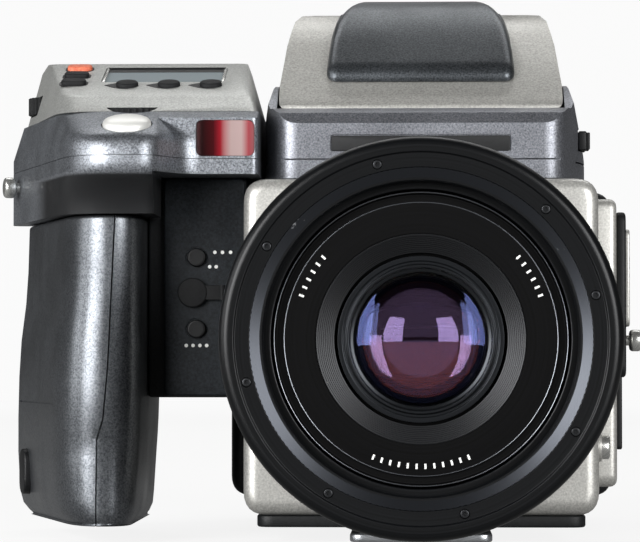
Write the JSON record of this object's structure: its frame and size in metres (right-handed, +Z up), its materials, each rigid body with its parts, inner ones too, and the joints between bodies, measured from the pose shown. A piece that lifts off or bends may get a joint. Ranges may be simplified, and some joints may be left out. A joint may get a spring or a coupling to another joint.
{
  "type": "medium format digital camera",
  "caption": "Single-lens reflex camera with a side grip, prism finder, digital back and a wide standard lens; mirror, iris, focus, flash, wheels and keys move.",
  "frame": {"origin": "mouth of the larger tripod socket, at the bottom of the foot", "axes": "+Y from the lens to the digital back, +Z up, +X to the right seen from the front"},
  "size_m": [0.1554, 0.205, 0.1319],
  "materials": {
    "silver_paint": "satin",
    "dark_paint": "satin",
    "charcoal_plastic": "fine texture",
    "black_plastic": "matte",
    "grained_panel": "grained",
    "black_anodised": "anodised",
    "bare_aluminium": "satin",
    "steel": "turned",
    "rubber": "matte",
    "orange_rubber": "matte",
    "clear_glass": "polished",
    "red_window": "polished",
    "display_glass": "polished",
    "mirror_glass": "front coated",
    "sensor_board": "coated"
  },
  "bodies": {
    "camera": {"body_shell": "silver_paint", "mirror_box": "black_plastic", "base_plate": "dark_paint", "tripod_foot": "bare_aluminium", "foot_screws": "steel", "lens_mount_ring": "steel", "focusing_screen": "clear_glass", "side_cover": "charcoal_plastic", "strap_lugs": "steel", "grip_web": "charcoal_plastic", "grip_panel": "grained_panel", "collar_lower": "charcoal_plastic", "collar_upper": "charcoal_plastic", "top_plate": "silver_paint", "lcd_window": "display_glass", "af_window": "red_window", "finder_base": "dark_paint", "finder_hood": "silver_paint", "finder_optics": "clear_glass", "eyecup": "rubber", "flash_pin": "steel", "back_housing": "charcoal_plastic", "sensor_unit": "sensor_board", "back_display": "display_glass", "lens_barrel": "black_anodised", "front_ring": "black_anodised", "ring_screws": "steel"},
    "reflex_mirror": {"reflex_mirror": "mirror_glass"},
    "upper_flap": {"rear_flap_upper": "black_plastic"},
    "lower_flap": {"rear_flap_lower": "black_plastic"},
    "lens_cell": {"lens_cell": "black_anodised", "name_ring": "black_anodised", "lens_glass": "clear_glass"},
    "shutter_button": {"shutter_button": "bare_aluminium"},
    "front_wheel": {"front_wheel": "rubber"},
    "rear_wheel": {"rear_wheel": "rubber"},
    "drive_button": {"drive_button": "rubber"},
    "focus_mode_button": {"focus_mode_button": "rubber"},
    "flash_mode_button": {"flash_mode_button": "rubber"},
    "menu_button": {"menu_button": "rubber"},
    "profile_button": {"profile_button": "rubber"},
    "power_button": {"power_button": "orange_rubber"},
    "mirror_up_button": {"mirror_up_button": "black_plastic"},
    "stop_down_button": {"stop_down_button": "black_plastic"},
    "release_button": {"release_button": "bare_aluminium"},
    "remote_cap": {"remote_cap": "rubber"},
    "battery_grip": {"battery_grip": "charcoal_plastic"},
    "battery_release": {"battery_release": "black_plastic"},
    "flash_cover": {"flash_cover": "charcoal_plastic"},
    "flash_catch": {"flash_catch": "black_plastic"},
    "focus_ring": {"focus_ring": "rubber"},
    "card_door": {"card_door": "charcoal_plastic"},
    "back_rocker": {"back_rocker": "black_plastic"},
    "back_button_left": {"back_button_left": "black_plastic"},
    "back_button_right": {"back_button_right": "black_plastic"},
    "aperture_blade_1": {"aperture_blade_1": "black_anodised"},
    "aperture_blade_2": {"aperture_blade_2": "black_anodised"},
    "aperture_blade_3": {"aperture_blade_3": "black_anodised"},
    "aperture_blade_4": {"aperture_blade_4": "black_anodised"},
    "aperture_blade_5": {"aperture_blade_5": "black_anodised"}
  },
  "joints": [
    {"name": "shutter_press", "type": "slide", "parent": "camera", "child": "shutter_button", "axis": [0, 0.303, -0.953], "range_m": [0, 0.0012], "stiffness_N_per_m": 600},
    {"name": "drive_press", "type": "slide", "parent": "camera", "child": "drive_button", "axis": [0, 0.3275, -0.9448], "range_m": [0, 0.0008], "stiffness_N_per_m": 400},
    {"name": "focus_mode_press", "type": "slide", "parent": "camera", "child": "focus_mode_button", "axis": [0, 0.3275, -0.9448], "range_m": [0, 0.0008], "stiffness_N_per_m": 400},
    {"name": "flash_mode_press", "type": "slide", "parent": "camera", "child": "flash_mode_button", "axis": [0, 0.3275, -0.9448], "range_m": [0, 0.0008], "stiffness_N_per_m": 400},
    {"name": "menu_press", "type": "slide", "parent": "camera", "child": "menu_button", "axis": [0, 0.3275, -0.9448], "range_m": [0, 0.0008], "stiffness_N_per_m": 400},
    {"name": "profile_press", "type": "slide", "parent": "camera", "child": "profile_button", "axis": [0, 0.3275, -0.9448], "range_m": [0, 0.0008], "stiffness_N_per_m": 400},
    {"name": "power_press", "type": "slide", "parent": "camera", "child": "power_button", "axis": [0, 0.3275, -0.9448], "range_m": [0, 0.0008], "stiffness_N_per_m": 400},
    {"name": "mirror_up_press", "type": "slide", "parent": "camera", "child": "mirror_up_button", "axis": [0, 1, 0], "range_m": [0, 0.0008], "stiffness_N_per_m": 400},
    {"name": "stop_down_press", "type": "slide", "parent": "camera", "child": "stop_down_button", "axis": [0, 1, 0], "range_m": [0, 0.0008], "stiffness_N_per_m": 400},
    {"name": "lens_release_press", "type": "slide", "parent": "camera", "child": "release_button", "axis": [-1, 0, 0], "range_m": [0, 0.0012], "stiffness_N_per_m": 600},
    {"name": "back_rocker_press", "type": "slide", "parent": "camera", "child": "back_rocker", "axis": [0, -1, 0], "range_m": [0, 0.0008], "stiffness_N_per_m": 400},
    {"name": "back_button_left_press", "type": "slide", "parent": "camera", "child": "back_button_left", "axis": [0, -1, 0], "range_m": [0, 0.0008], "stiffness_N_per_m": 400},
    {"name": "back_button_right_press", "type": "slide", "parent": "camera", "child": "back_button_right", "axis": [0, -1, 0], "range_m": [0, 0.0008], "stiffness_N_per_m": 400},
    {"name": "front_wheel_turn", "type": "hinge", "parent": "camera", "child": "front_wheel", "pos_m": [-0.0673, -0.0159, 0.099], "axis": [0, 0, 1], "continuous": true},
    {"name": "rear_wheel_turn", "type": "hinge", "parent": "camera", "child": "rear_wheel", "pos_m": [-0.0887, 0.0235, 0.1047], "axis": [0, 0, 1], "continuous": true},
    {"name": "remote_cap_open", "type": "hinge", "parent": "camera", "child": "remote_cap", "pos_m": [-0.0466, -0.01495, 0.0579], "axis": [0, 0, 1], "range_deg": [0, 95]},
    {"name": "battery_slide", "type": "slide", "parent": "camera", "child": "battery_grip", "axis": [0, 0, -1], "range_m": [0, 0.034]},
    {"name": "battery_release_press", "type": "slide", "parent": "battery_grip", "child": "battery_release", "axis": [0.9576, 0.288, 0], "range_m": [0, 0.0008], "stiffness_N_per_m": 400},
    {"name": "flash_lift", "type": "hinge", "parent": "camera", "child": "flash_cover", "pos_m": [0, 0.046, 0.13045], "axis": [-1, 0, 0], "range_deg": [0, 50]},
    {"name": "flash_catch_slide", "type": "slide", "parent": "camera", "child": "flash_catch", "axis": [0, 1, 0], "range_m": [0, 0.003], "stiffness_N_per_m": 200},
    {"name": "mirror_swing", "type": "hinge", "parent": "camera", "child": "reflex_mirror", "pos_m": [0, 0.021, 0.068], "axis": [-1, 0, 0], "range_deg": [0, 45]},
    {"name": "upper_flap_swing", "type": "hinge", "parent": "camera", "child": "upper_flap", "pos_m": [0, 0.0217, 0.0654], "axis": [-1, 0, 0], "range_deg": [0, 88.2]},
    {"name": "lower_flap_swing", "type": "hinge", "parent": "camera", "child": "lower_flap", "pos_m": [0, 0.0217, 0.0274], "axis": [1, 0, 0], "range_deg": [0, 88.2]},
    {"name": "focus_turn", "type": "hinge", "parent": "camera", "child": "focus_ring", "pos_m": [0, -0.06085, 0.0464], "axis": [0, 1, 0], "range_deg": [0, 90]},
    {"name": "focus_travel", "type": "slide", "parent": "camera", "child": "lens_cell", "axis": [0, -1, 0], "range_m": [0, 0.005]},
    {"name": "aperture_1", "type": "hinge", "parent": "lens_cell", "child": "aperture_blade_1", "pos_m": [0.0262, -0.066, 0.0464], "axis": [0, -1, 0], "range_deg": [0, 20]},
    {"name": "aperture_2", "type": "hinge", "parent": "lens_cell", "child": "aperture_blade_2", "pos_m": [0.0081, -0.066, 0.07132], "axis": [0, -1, 0], "range_deg": [0, 20]},
    {"name": "aperture_3", "type": "hinge", "parent": "lens_cell", "child": "aperture_blade_3", "pos_m": [-0.0212, -0.066, 0.0618], "axis": [0, -1, 0], "range_deg": [0, 20]},
    {"name": "aperture_4", "type": "hinge", "parent": "lens_cell", "child": "aperture_blade_4", "pos_m": [-0.0212, -0.066, 0.031], "axis": [0, -1, 0], "range_deg": [0, 20]},
    {"name": "aperture_5", "type": "hinge", "parent": "lens_cell", "child": "aperture_blade_5", "pos_m": [0.0081, -0.066, 0.02148], "axis": [0, -1, 0], "range_deg": [0, 20]},
    {"name": "card_door_open", "type": "hinge", "parent": "camera", "child": "card_door", "pos_m": [0.0461, 0.0825, 0.0464], "axis": [0, 0, 1], "range_deg": [0, 95]}
  ],
  "couplings": [
    {"joint": "upper_flap_swing", "follows": "mirror_swing", "ratio": 1.955},
    {"joint": "lower_flap_swing", "follows": "mirror_swing", "ratio": 1.955},
    {"joint": "focus_travel", "follows": "focus_turn", "m_per_rad": 0.00318},
    {"joint": "aperture_2", "follows": "aperture_1", "ratio": 1},
    {"joint": "aperture_3", "follows": "aperture_1", "ratio": 1},
    {"joint": "aperture_4", "follows": "aperture_1", "ratio": 1},
    {"joint": "aperture_5", "follows": "aperture_1", "ratio": 1}
  ]
}
